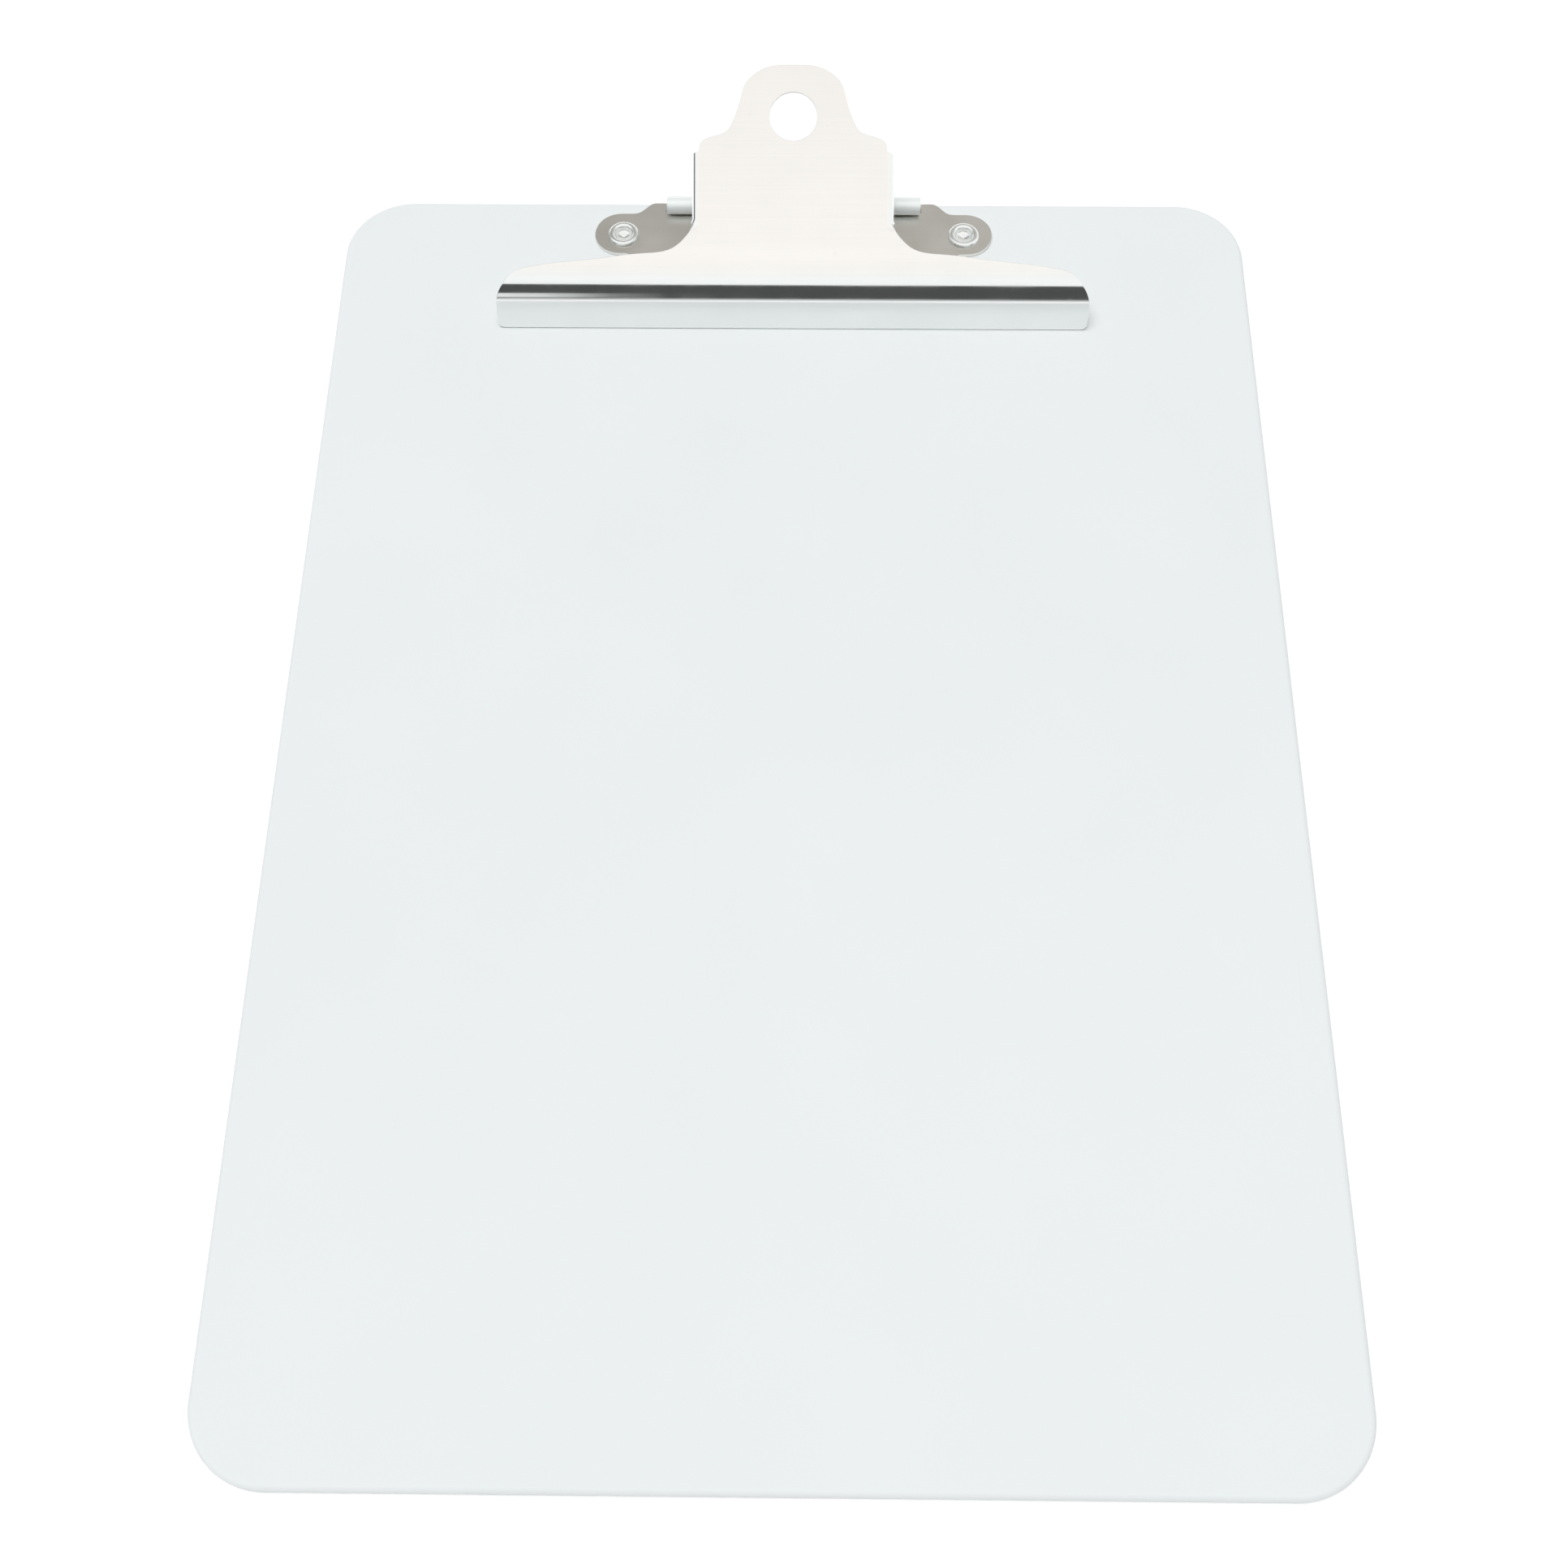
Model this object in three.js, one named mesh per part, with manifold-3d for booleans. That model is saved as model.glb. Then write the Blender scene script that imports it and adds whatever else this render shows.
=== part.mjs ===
// Clipboard: a rigid letter-size writing board with a sprung steel board clip.
//
// Frame: +Z up, +Y towards the clip end, millimetres.
// The origin is the centre of the board's flat back face.
//
// The clip is a bent sheet-steel lever that turns on a cross pin. The pin sits in
// two knuckles rolled up and forward from the rear edge of the flat base plate.
// Two rivets with back washers fasten the base plate through the board. A torsion
// spring on the pin holds the lever's lip down on the board.

import * as THREE from 'three';
import * as BufferGeometryUtils from 'three/addons/utils/BufferGeometryUtils.js';
import Module from 'manifold-3d';

// ---------------------------------------------------------------- dimensions

// Board
const BOARD_W = 229;            // 9 in
const BOARD_L = 318;            // 12.5 in
const BOARD_T = 3.0;
const BOARD_CORNER_R = 16.5;
const BOARD_EDGE_R = 1.4;       // rounding of the rim, top and bottom

// Clip layout, measured from the centre of the board
const LIP_Y = 117.9;            // line where the lip meets the board
const PIN_Y = 155.9;
const PIN_Z = BOARD_T + 2.3;
const RIVET_X = 43.5;
const RIVET_Y = 147.4;

// Lever: one 0.9 mm sheet, described by its outer surface
const SHEET = 0.9;
const LIP_GAP = 0.3;            // running gap between lip and board
const LIP_LEN = 4.32;           // straight lip
const LIP_LEAN = 8;             // degrees the lip leans back
const NOSE_R = 13.5;            // rolled nose, outer radius
const NOSE_END = 51;            // surface normal elevation at the end of the nose, degrees
const BROW_LEN = 7.5;           // shallow bend between nose and plate
const PLATE_NORMAL = 59;        // normal elevation of the flat plate (31 degrees of pitch)
const HANG_HOLE_R = 5.75;
const HANG_HOLE_S = 52.7;       // distance of the hole from the lip along the sheet

// Half outline of the lever's flat pattern: [half width, distance from the lip]
const LEVER_OUTLINE = [
  [71.7, 0.0], [72.9, 0.35], [73.35, 1.5], [73.2, 8.4], [72.5, 10.6], [71.5, 12.3], [70.3, 14.0],
  [68.9, 15.2], [66.9, 16.05], [63.0, 16.95], [58.0, 17.6], [47.6, 18.6], [39.7, 19.7], [34.5, 20.0],
  [30.3, 20.7], [28.0, 22.1], [26.4, 23.9], [25.1, 25.2], [23.9, 26.2], [22.95, 26.8],
  [22.95, 45.9], [22.3, 46.7], [21.3, 47.4], [19.6, 48.1], [17.4, 48.7], [16.2, 49.3], [15.45, 50.1],
  [14.9, 51.1], [14.2, 52.4], [13.5, 54.6], [12.8, 57.0], [12.35, 59.1], [11.85, 60.3], [10.8, 61.5],
  [9.5, 62.7], [8.05, 63.8], [6.3, 64.6], [4.4, 65.0],
];

// Side flanges of the lever
const FLANGE_OUT = 24.75;       // outer face, from the centre line
const FLANGE_BEND_R = 1.8;      // outer bend radius
const FLANGE_S0 = 27.4;         // start and end along the sheet
const FLANGE_S1 = 44.4;
const FLANGE_EYE_R = 2.05;      // round end at the pin

// Pin and knuckles
const PIN_R = 1.05;
const PIN_HALF = 32.7;
const KNUCKLE_R = 2.25;
const KNUCKLE_BORE = 1.45;
const KNUCKLE_IN = 25.1;
const KNUCKLE_OUT = 32.5;
const FLANGE_BORE = 1.35;

// Base plate: one flat 0.8 mm sheet
const BASE_T = 0.8;
const BASE_SEAT = 0.05;         // seating gap on the board
const BASE_HALF = 41.3;         // half width of the plate in front of the lugs
const BASE_FRONT_Y = 131.0;
const BASE_REAR_Y = 158.0;      // rear edge outside the knuckles
const SLOT = 0.3;               // slot outside each knuckle's tongue
const SLOT_Y = 154.9;           // front end of the slots
const NOTCH_Y = 152.4;          // front of the notch for the flanges and the coil
const NOTCH_R = 1.2;
const ROLL_END = 208;           // the roll runs from below the pin to this angle, degrees

// Lugs
const LUG_X = 44.2;
const LUG_Y = 147.85;
const LUG_R = 6.6;

// Semi-tubular rivets, clinched on the writing side, with a washer under the head
const RIVET_SHANK = 2.6;
const RIVET_RIM = 3.95;         // clinched rim
const RIVET_WELL = 2.2;         // open end of the tube
const RIVET_HEAD = 4.1;
const RIVET_HOLE = 2.9;
const RECESS_R = 5.2;
const RECESS_DEPTH = 1.3;
const WASHER_R = 4.8;
const WASHER_T = 0.5;

// Torsion spring
const WIRE_R = 0.4;
const COIL_R = 1.7;
const COIL_TURNS = 7;
const COIL_PITCH = 1.1;
const BASE_LEG_Z = 4.32;        // height of the leg that lies on the base plate

// ------------------------------------------------------------------ helpers

const wasm = await Module();
wasm.setup();
const rad = THREE.MathUtils.degToRad;

function solid(geometry) {
  const g = geometry.clone();
  for (const name of Object.keys(g.attributes)) if (name !== 'position') g.deleteAttribute(name);
  const m = BufferGeometryUtils.mergeVertices(g, 1e-5);
  return new wasm.Manifold(new wasm.Mesh({
    numProp: 3,
    vertProperties: new Float32Array(m.attributes.position.array),
    triVerts: new Uint32Array(m.index.array),
  }));
}

function geometryOf(manifold) {
  const m = manifold.getMesh();
  const g = new THREE.BufferGeometry();
  const n = m.numProp;
  const pos = new Float32Array((m.vertProperties.length / n) * 3);
  for (let i = 0; i < pos.length / 3; i++) {
    pos[3 * i] = m.vertProperties[n * i];
    pos[3 * i + 1] = m.vertProperties[n * i + 1];
    pos[3 * i + 2] = m.vertProperties[n * i + 2];
  }
  g.setAttribute('position', new THREE.BufferAttribute(pos, 3));
  g.setIndex(new THREE.BufferAttribute(new Uint32Array(m.triVerts), 1));
  g.computeVertexNormals();
  return g;
}

function shapeOf(points) {
  return new THREE.Shape(points.map(([x, y]) => new THREE.Vector2(x, y)));
}

// Prism along Z from a plan outline
function prismZ(points, z0, z1) {
  const g = new THREE.ExtrudeGeometry(shapeOf(points), { depth: z1 - z0, bevelEnabled: false });
  g.translate(0, 0, z0);
  return g;
}

// Prism along X from a [y, z] outline
function prismX(points, x0, x1) {
  const g = new THREE.ExtrudeGeometry(shapeOf(points), { depth: x1 - x0, bevelEnabled: false });
  g.applyMatrix4(new THREE.Matrix4().makeBasis(
    new THREE.Vector3(0, 1, 0), new THREE.Vector3(0, 0, 1), new THREE.Vector3(1, 0, 0)));
  g.translate(x0, 0, 0);
  return g;
}

function rod(r, x0, x1, y, z, sides = 32) {
  const g = new THREE.CylinderGeometry(r, r, x1 - x0, sides);
  g.rotateZ(Math.PI / 2);
  g.translate((x0 + x1) / 2, y, z);
  return g;
}

function post(r, x, y, z0, z1, sides = 40) {
  const g = new THREE.CylinderGeometry(r, r, z1 - z0, sides);
  g.rotateX(Math.PI / 2);
  g.translate(x, y, (z0 + z1) / 2);
  return g;
}

// Ring about an axis through (x, y), from a closed [radius, z] section
function ringZ(section, x, y, sides = 28) {
  const pts = section.map(([r, z]) => new THREE.Vector2(r, z));
  pts.push(pts[0].clone());
  const g = new THREE.LatheGeometry(pts, sides);
  g.rotateX(Math.PI / 2);
  g.translate(x, y, 0);
  return g;
}

// Solid turned about an axis through (x, y), from an open [radius, z] section that starts and ends on the axis
function turnedZ(section, x, y, sides = 28) {
  const g = new THREE.LatheGeometry(section.map(([r, z]) => new THREE.Vector2(r, z)), sides);
  g.rotateX(Math.PI / 2);
  g.translate(x, y, 0);
  return g;
}

function arc(cx, cy, r, a0, a1, n) {
  const out = [];
  for (let i = 0; i <= n; i++) {
    const a = rad(a0 + (a1 - a0) * i / n);
    out.push([cx + r * Math.cos(a), cy + r * Math.sin(a)]);
  }
  return out;
}

function mirrorX(points) {
  return points.map(([x, y]) => [-x, y]).reverse();
}

// ---------------------------------------------------- the lever's bent surface

// The sheet's outer surface along a cut at constant x: normal elevation at s
const S_NOSE = LIP_LEN;
const S_BROW = LIP_LEN + NOSE_R * rad(NOSE_END - LIP_LEAN);
const S_PLATE = S_BROW + BROW_LEN;
function elevation(s) {
  if (s <= S_NOSE) return rad(LIP_LEAN);
  if (s <= S_BROW) return rad(LIP_LEAN) + (s - S_NOSE) / NOSE_R;
  if (s <= S_PLATE) return rad(NOSE_END + (PLATE_NORMAL - NOSE_END) * (s - S_BROW) / BROW_LEN);
  return rad(PLATE_NORMAL);
}
// Integrated once on a fine table
const STEP = 0.01;
const TABLE = [[LIP_Y, BOARD_T + LIP_GAP]];
for (let i = 0; i < 9000; i++) {
  const a = elevation((i + 0.5) * STEP);
  const [y, z] = TABLE[i];
  TABLE.push([y + STEP * Math.sin(a), z + STEP * Math.cos(a)]);
}
function onSheet(s, depth) {
  const k = Math.min(Math.max(s / STEP, 0), TABLE.length - 2);
  const i = Math.floor(k);
  const f = k - i;
  const a = elevation(s);
  const y = TABLE[i][0] * (1 - f) + TABLE[i + 1][0] * f;
  const z = TABLE[i][1] * (1 - f) + TABLE[i + 1][1] * f;
  return [y + depth * Math.cos(a), z - depth * Math.sin(a)];
}

// Splits every triangle of a flat slab along the lines y = cut
function splitAlong(geometry, cuts) {
  const p = (geometry.index ? geometry.toNonIndexed() : geometry).attributes.position.array;
  let tris = [];
  for (let i = 0; i < p.length; i += 9) {
    tris.push([[p[i], p[i + 1], p[i + 2]], [p[i + 3], p[i + 4], p[i + 5]], [p[i + 6], p[i + 7], p[i + 8]]]);
  }
  const cross = (a, b, c) => {
    const [u, v] = a[1] < b[1] ? [a, b] : [b, a];
    const t = (c - u[1]) / (v[1] - u[1]);
    return [u[0] + t * (v[0] - u[0]), c, u[2] + t * (v[2] - u[2])];
  };
  for (const c of cuts) {
    const next = [];
    for (const t of tris) {
      const side = t.map((q) => (Math.abs(q[1] - c) < 1e-6 ? 0 : Math.sign(q[1] - c)));
      if (!(side.includes(1) && side.includes(-1))) { next.push(t); continue; }
      for (const want of [1, -1]) {
        const poly = [];
        for (let i = 0; i < 3; i++) {
          const j = (i + 1) % 3;
          if (side[i] === want || side[i] === 0) poly.push(t[i]);
          if (side[i] * side[j] < 0) poly.push(cross(t[i], t[j], c));
        }
        for (let i = 1; i + 1 < poly.length; i++) next.push([poly[0], poly[i], poly[i + 1]]);
      }
    }
    tris = next;
  }
  const g = new THREE.BufferGeometry();
  g.setAttribute('position', new THREE.BufferAttribute(new Float32Array(tris.flat(2)), 3));
  return g;
}

function buildLever() {
  const outline = [...LEVER_OUTLINE, ...mirrorX(LEVER_OUTLINE)];
  const shape = shapeOf(outline);
  const hole = new THREE.Path();
  hole.absarc(0, HANG_HOLE_S, HANG_HOLE_R, 0, Math.PI * 2, true);
  shape.holes.push(hole);
  let flat = new THREE.ExtrudeGeometry(shape, { depth: SHEET, bevelEnabled: false, curveSegments: 20 });
  const cuts = [];
  for (let i = 0; i <= 10; i++) cuts.push(S_NOSE + (S_BROW - S_NOSE) * i / 10);
  for (let i = 1; i <= 3; i++) cuts.push(S_BROW + BROW_LEN * i / 3);
  flat = splitAlong(flat, cuts);
  flat = BufferGeometryUtils.mergeVertices(flat, 1e-5);
  const q = flat.attributes.position;
  for (let i = 0; i < q.count; i++) {
    const [y, z] = onSheet(q.getY(i), SHEET - q.getZ(i));
    q.setXYZ(i, q.getX(i), y, z);
  }
  let lever = solid(flat);

  // Side flanges: a quarter bend and a tapering cheek down to an eye on the pin
  const a = rad(PLATE_NORMAL);
  const [y0, z0] = onSheet(FLANGE_S0, 0);
  const [y1, z1] = onSheet(FLANGE_S1, 0);
  const along = new THREE.Vector3(0, Math.sin(a), Math.cos(a));
  const out = new THREE.Vector3(0, -Math.cos(a), Math.sin(a));
  const bendX = FLANGE_OUT - FLANGE_BEND_R;
  const inner = FLANGE_BEND_R - SHEET;
  const section = [
    [bendX - 0.4, -SHEET], [bendX, -SHEET], ...arc(bendX, -FLANGE_BEND_R, inner, 90, 0, 5).slice(1),
    [FLANGE_OUT - SHEET, -40], [FLANGE_OUT, -40],
    ...arc(bendX, -FLANGE_BEND_R, FLANGE_BEND_R, 0, 90, 5), [bendX - 0.4, 0],
  ];
  // Cheek outline in the [y, z] plane, a little proud of the sheet
  const eye = (from, to) => arc(PIN_Y, PIN_Z, FLANGE_EYE_R, from, to, 14);
  const tangentAngle = (py, pz, sign) => {
    const d = Math.hypot(py - PIN_Y, pz - PIN_Z);
    const base = Math.atan2(pz - PIN_Z, py - PIN_Y);
    return THREE.MathUtils.radToDeg(base + sign * Math.acos(FLANGE_EYE_R / d));
  };
  const aRear = tangentAngle(y1, z1, -1);
  const aFront = tangentAngle(y0, z0, 1);
  const lift = 0.6;
  const cheek = [
    [y0 - lift * Math.cos(a), z0 + lift * Math.sin(a)],
    [y0, z0],
    ...eye(aFront, aRear + 360),
    [y1, z1],
    [y1 - lift * Math.cos(a), z1 + lift * Math.sin(a)],
  ];
  for (const side of [1, -1]) {
    const g = new THREE.ExtrudeGeometry(shapeOf(section), { depth: 44, bevelEnabled: false });
    const basis = new THREE.Matrix4().makeBasis(new THREE.Vector3(1, 0, 0), out, along.clone().negate());
    g.applyMatrix4(basis);
    const [ys, zs] = onSheet(FLANGE_S1 + 14, 0);
    g.translate(0, ys, zs);
    let strip = solid(g);
    strip = strip.intersect(solid(prismX(cheek, 20, 30)));
    if (side < 0) {
      const m = geometryOf(strip);
      m.scale(-1, 1, 1);
      const idx = m.index.array;
      for (let i = 0; i < idx.length; i += 3) [idx[i], idx[i + 1]] = [idx[i + 1], idx[i]];
      strip = solid(m);
    }
    lever = lever.add(strip);
  }
  return geometryOf(lever.subtract(solid(rod(FLANGE_BORE, -30, 30, PIN_Y, PIN_Z))));
}

// ------------------------------------------------------------------- board

function buildBoard() {
  const w = BOARD_W / 2 - BOARD_EDGE_R;
  const l = BOARD_L / 2 - BOARD_EDGE_R;
  const r = BOARD_CORNER_R - BOARD_EDGE_R;
  const outline = [
    ...arc(w - r, -l + r, r, -90, 0, 8), ...arc(w - r, l - r, r, 0, 90, 8),
    ...arc(-w + r, l - r, r, 90, 180, 8), ...arc(-w + r, -l + r, r, 180, 270, 8),
  ];
  const g = new THREE.ExtrudeGeometry(shapeOf(outline), {
    depth: BOARD_T - 2 * BOARD_EDGE_R, bevelEnabled: true,
    bevelThickness: BOARD_EDGE_R, bevelSize: BOARD_EDGE_R, bevelSegments: 3,
  });
  g.translate(0, 0, BOARD_EDGE_R);
  let board = solid(g);
  for (const side of [1, -1]) {
    board = board.subtract(solid(post(RIVET_HOLE, side * RIVET_X, RIVET_Y, -1, BOARD_T + 1)));
    board = board.subtract(solid(post(RECESS_R, side * RIVET_X, RIVET_Y, -1, RECESS_DEPTH)));
  }
  return geometryOf(board);
}

// -------------------------------------------------------------- base plate

function buildBasePlate() {
  const z0 = BOARD_T + BASE_SEAT;
  const z1 = z0 + BASE_T;
  // Plan outline, right half, from the front centre round to the rear centre
  const half = [
    ...arc(BASE_HALF - 5, BASE_FRONT_Y + 5, 5, -90, 0, 6),
    ...arc(BASE_HALF + 1.6, LUG_Y - LUG_R - 1.6, 1.6, 180, 90, 4),
    ...arc(LUG_X, LUG_Y, LUG_R, -90, 90, 18),
    [40.9, LUG_Y + LUG_R], [39.8, 154.72], [38.95, 155.35], [37.25, 157.1], [36.5, 157.7], [35.6, BASE_REAR_Y],
    [KNUCKLE_OUT + SLOT, BASE_REAR_Y], [KNUCKLE_OUT + SLOT, SLOT_Y], [KNUCKLE_OUT, SLOT_Y], [KNUCKLE_OUT, PIN_Y - 0.4],
    [KNUCKLE_IN, PIN_Y - 0.4], ...arc(KNUCKLE_IN - NOTCH_R, NOTCH_Y + NOTCH_R, NOTCH_R, 0, -90, 4),
  ];
  let plate = solid(prismZ([...half, ...mirrorX(half)], z0, z1));
  // The rolled tongue in the [y, z] plane
  const tongue = [
    [PIN_Y - 0.9, z0], ...arc(PIN_Y, PIN_Z, KNUCKLE_R, -90, ROLL_END, 28),
    ...arc(PIN_Y, PIN_Z, KNUCKLE_BORE, ROLL_END, -90, 28), [PIN_Y - 0.9, z1],
  ];
  for (const side of [1, -1]) {
    const x0 = side > 0 ? KNUCKLE_IN : -KNUCKLE_OUT;
    plate = plate.add(solid(prismX(tongue, x0, x0 + KNUCKLE_OUT - KNUCKLE_IN)));
    plate = plate.subtract(solid(post(RIVET_HOLE, side * RIVET_X, RIVET_Y, 0, 20)));
  }
  return geometryOf(plate);
}

// ----------------------------------------------------------- small hardware

function buildPin() {
  const c = 0.35;
  const profile = [[0, -PIN_HALF], [PIN_R - c, -PIN_HALF], [PIN_R, -PIN_HALF + c], [PIN_R, PIN_HALF - c], [PIN_R - c, PIN_HALF], [0, PIN_HALF]];
  const lathe = new THREE.LatheGeometry(profile.map(([r, z]) => new THREE.Vector2(r, z)), 24);
  lathe.rotateZ(Math.PI / 2);
  lathe.translate(0, PIN_Y, PIN_Z);
  return geometryOf(solid(lathe));
}

function buildRivet(x) {
  const zt = BOARD_T + BASE_SEAT + BASE_T + 0.05;     // under the rim
  const zb = RECESS_DEPTH - 0.05 - WASHER_T - 0.05;   // over the head
  const section = [
    [0, 0.1], [3.3, 0.1], [3.85, 0.25], [RIVET_HEAD, 0.5], [RIVET_HEAD, zb],
    [RIVET_SHANK, zb], [RIVET_SHANK, zt], [RIVET_RIM, zt], [RIVET_RIM, zt + 0.35], [3.6, zt + 0.72],
    [3.05, zt + 0.85], [2.55, zt + 0.68], [RIVET_WELL, zt + 0.25], [1.95, zt - 0.3], [1.55, zt - 0.7], [0, zt - 1.35],
  ];
  return geometryOf(solid(turnedZ(section, x, RIVET_Y)));
}

function buildWasher(x) {
  const z1 = RECESS_DEPTH - 0.05;
  const section = [[RIVET_HOLE, z1 - WASHER_T], [WASHER_R, z1 - WASHER_T], [WASHER_R, z1], [RIVET_HOLE, z1]];
  return geometryOf(solid(ringZ(section, x, RIVET_Y)));
}

// Spring: a leg that bears on the base plate, the coil, a leg up to the lever
class SpringPath extends THREE.Curve {
  constructor() {
    super();
    const pts = [];
    const half = COIL_TURNS * COIL_PITCH / 2;
    const legAngle = 25;                               // where the upper leg leaves the coil
    // The base leg lies on the plate, then dips over its edge into the coil
    const dip = 15;
    const legZ = BASE_LEG_Z - PIN_Z;
    const touch = [-COIL_R * Math.sin(rad(dip)), -COIL_R * Math.cos(rad(dip))];
    const bendAt = touch[0] - (legZ - touch[1]) / Math.tan(rad(dip));
    for (let y = -16; y < bendAt - 0.5; y += 2) pts.push([-half, y, legZ]);
    pts.push([-half, bendAt, legZ]);
    const total = COIL_TURNS * 360 + 90 + dip + legAngle;
    const steps = Math.round(total / 18);
    for (let i = 0; i <= steps; i++) {
      const turned = total * i / steps;
      const a = rad(-90 - dip + turned);
      pts.push([-half + 2 * half * turned / total, COIL_R * Math.cos(a), COIL_R * Math.sin(a)]);
    }
    const dir = [-Math.sin(rad(legAngle)), Math.cos(rad(legAngle))];
    const from = [COIL_R * Math.cos(rad(legAngle)), COIL_R * Math.sin(rad(legAngle))];
    // The upper leg meets the underside of the sheet and turns down along it
    const a = rad(PLATE_NORMAL);
    const [py, pz] = onSheet(40, SHEET + WIRE_R + 0.3);
    const qy = py - PIN_Y, qz = pz - PIN_Z;
    const u = [-Math.sin(a), -Math.cos(a)];
    const det = dir[0] * -u[1] + dir[1] * u[0];
    const t = ((qy - from[0]) * -u[1] + (qz - from[1]) * u[0]) / det;
    const hit = [from[0] + dir[0] * t, from[1] + dir[1] * t];
    for (let k = 2; k < t - 1.6; k += 2) pts.push([half, from[0] + dir[0] * k, from[1] + dir[1] * k]);
    const b0 = [hit[0] - dir[0] * 1.5, hit[1] - dir[1] * 1.5];
    const b1 = [hit[0] + u[0] * 1.5, hit[1] + u[1] * 1.5];
    for (let k = 0; k <= 4; k++) {
      const f = k / 4, g = 1 - f;
      pts.push([half, g * g * b0[0] + 2 * g * f * hit[0] + f * f * b1[0], g * g * b0[1] + 2 * g * f * hit[1] + f * f * b1[1]]);
    }
    for (const k of [3, 5]) pts.push([half, hit[0] + u[0] * k, hit[1] + u[1] * k]);
    this.points = pts.map(([x, y, z]) => new THREE.Vector3(x, PIN_Y + y, PIN_Z + z));
    this.lengths = [0];
    for (let i = 1; i < this.points.length; i++) this.lengths.push(this.lengths[i - 1] + this.points[i].distanceTo(this.points[i - 1]));
  }

  getPoint(t, target = new THREE.Vector3()) {
    const total = this.lengths[this.lengths.length - 1];
    const d = Math.min(Math.max(t, 0), 1) * total;
    let i = 1;
    while (i < this.lengths.length - 1 && this.lengths[i] < d) i++;
    const f = (d - this.lengths[i - 1]) / (this.lengths[i] - this.lengths[i - 1]);
    return target.lerpVectors(this.points[i - 1], this.points[i], Math.min(Math.max(f, 0), 1));
  }
}

function buildSpring() {
  const path = new SpringPath();
  const section = shapeOf(arc(0, 0, WIRE_R, 0, 315, 7));
  const g = new THREE.ExtrudeGeometry(section, { steps: 280, extrudePath: path, bevelEnabled: false });
  return geometryOf(solid(g));
}

// ----------------------------------------------------------------- assembly

const group = new THREE.Group();
group.name = 'clipboard';

function piece(name, geometry, color, roughness, metalness) {
  const mesh = new THREE.Mesh(geometry, new THREE.MeshStandardMaterial({ color, roughness, metalness }));
  mesh.name = name;
  group.add(mesh);
}

piece('board', buildBoard(), 0xecf0f1, 0.5, 0.0);
piece('base_plate', buildBasePlate(), 0xaaa79e, 0.35, 1.0);
piece('clamp_lever', buildLever(), 0xf3efea, 0.25, 1.0);
piece('pivot_pin', buildPin(), 0xc8c8c4, 0.35, 1.0);
piece('torsion_spring', buildSpring(), 0xb8b8b4, 0.35, 1.0);
piece('rivet_left', buildRivet(-RIVET_X), 0xdfe4e4, 0.3, 1.0);
piece('rivet_right', buildRivet(RIVET_X), 0xdfe4e4, 0.3, 1.0);
piece('rivet_washer_left', buildWasher(-RIVET_X), 0xd0d2d2, 0.4, 1.0);
piece('rivet_washer_right', buildWasher(RIVET_X), 0xd0d2d2, 0.4, 1.0);

export default group;
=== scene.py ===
import math

import bmesh
import bpy
import numpy as np
from mathutils import Matrix, Vector
from mathutils.geometry import delaunay_2d_cdt


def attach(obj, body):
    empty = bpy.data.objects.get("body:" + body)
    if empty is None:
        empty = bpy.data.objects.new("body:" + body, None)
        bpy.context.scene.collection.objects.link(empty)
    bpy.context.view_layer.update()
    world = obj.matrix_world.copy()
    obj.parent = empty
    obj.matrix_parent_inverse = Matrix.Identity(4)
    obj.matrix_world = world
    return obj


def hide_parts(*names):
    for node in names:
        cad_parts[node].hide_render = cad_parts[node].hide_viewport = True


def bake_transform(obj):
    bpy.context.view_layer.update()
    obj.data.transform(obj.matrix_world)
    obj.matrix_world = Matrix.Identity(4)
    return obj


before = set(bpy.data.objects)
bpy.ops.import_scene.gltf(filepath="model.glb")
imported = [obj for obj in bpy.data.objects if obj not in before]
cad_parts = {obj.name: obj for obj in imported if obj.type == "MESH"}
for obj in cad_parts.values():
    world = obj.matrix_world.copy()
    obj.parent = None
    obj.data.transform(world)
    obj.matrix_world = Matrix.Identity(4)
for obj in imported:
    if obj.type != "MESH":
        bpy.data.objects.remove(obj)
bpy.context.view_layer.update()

# Lengths here are millimetres in the row frame until a mesh is written.
MM = 0.001
rad = math.radians

# ------------------------------------------------------------------ dimensions
BOARD_W, BOARD_L, BOARD_T, BOARD_R, BOARD_E = 229.0, 318.0, 3.0, 16.5, 1.4
LIP_Y, PIN_Y, PIN_Z = 117.9, 155.9, 5.3
RIVET_X, RIVET_Y = 43.5, 147.4

SHEET = 0.9
LIP_GAP = 0.3
LIP_LEN, LIP_LEAN, NOSE_R, NOSE_END, BROW_LEN, PLATE_NORMAL = 4.32, 8.0, 13.5, 51.0, 7.5, 59.0
HANG_R, HANG_S = 5.75, 52.7
FL_OUT, FL_R = 24.75, 1.8
FL_X = FL_OUT - FL_R
FL_ARC = FL_R * math.pi / 2
EYE_R, EYE_BORE = 2.05, 1.32

BASE_T, BASE_Z = 0.8, 3.05
KN_IN, KN_OUT, KN_R, KN_BORE = 25.1, 32.5, 2.25, 1.45
ROLL_END, SLOT, SLOT_Y = 208.0, 0.3, 154.9
PIN_R, PIN_HALF = 1.05, 32.7
WIRE_R, COIL_R, COIL_TURNS, COIL_PITCH, BASE_LEG_Z = 0.4, 1.7, 7, 1.1, 4.32


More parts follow.
